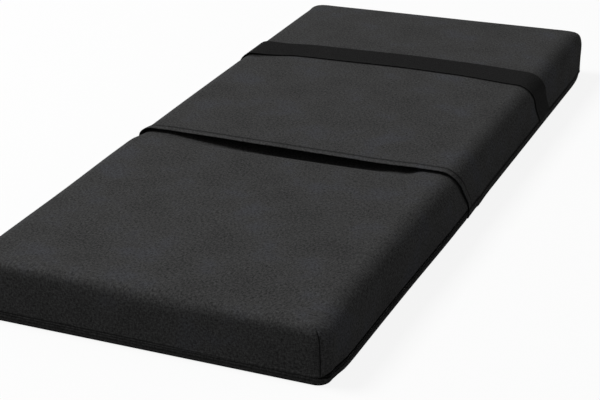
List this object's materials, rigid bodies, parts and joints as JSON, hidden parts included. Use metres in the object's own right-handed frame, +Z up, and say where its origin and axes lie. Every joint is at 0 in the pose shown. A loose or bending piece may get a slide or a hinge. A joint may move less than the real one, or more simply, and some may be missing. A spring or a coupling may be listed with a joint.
{
  "type": "foam mattress",
  "caption": "Foam mattress in a charcoal woven zip cover, with a pull-over sleeve that gapes at its hem and a wide black elastic band.",
  "frame": {"origin": "floor under the middle of the mattress", "axes": "+Y along the length towards the sleeve's closed end, +X across the width to the side with the zip, +Z up"},
  "size_m": [0.9042, 2, 0.153],
  "materials": {
    "cover_cloth": "charcoal melange woven cloth, matt",
    "base_cloth": "dark non-slip base cloth, matt",
    "binding_tape": "black woven binding tape",
    "elastic_band": "black ribbed elastic webbing",
    "zip_tape": "black woven zip tape",
    "zip_coil": "black nylon coil",
    "zip_metal": "black enamelled zip hardware",
    "memory_foam": "cream viscoelastic foam, cut surface",
    "support_foam": "pale grey polyurethane foam, cut surface",
    "liner_knit": "off-white knitted liner"
  },
  "bodies": {
    "mattress": {"support_foam": "support_foam", "memory_foam": "memory_foam", "inner_liner": "liner_knit", "cover_top": "cover_cloth", "cover_base": "base_cloth", "cover_seam": "binding_tape", "zip_tape_upper": "zip_tape", "zip_tape_lower": "zip_tape", "zip_coil_upper": "zip_coil", "zip_coil_lower": "zip_coil", "zip_top_stop": "zip_metal", "zip_bottom_stop": "zip_metal"},
    "zip_slider": {"zip_slider": "zip_metal"},
    "zip_pull": {"zip_pull": "zip_metal"},
    "sleeve": {"sleeve_top": "cover_cloth", "sleeve_base": "base_cloth", "sleeve_binding": "binding_tape", "strap_band": "elastic_band"}
  },
  "joints": [
    {"name": "zip_travel", "type": "slide", "parent": "mattress", "child": "zip_slider", "axis": [1, 0, 0], "range_m": [0, 0.79]},
    {"name": "pull_swing", "type": "hinge", "parent": "zip_slider", "child": "zip_pull", "pos_m": [-0.398, -0.9984, 0.02], "axis": [0, 0, -1], "range_deg": [0, 170]},
    {"name": "sleeve_slide", "type": "slide", "parent": "mattress", "child": "sleeve", "axis": [0, 1, 0], "range_m": [0, 1.25]}
  ]
}
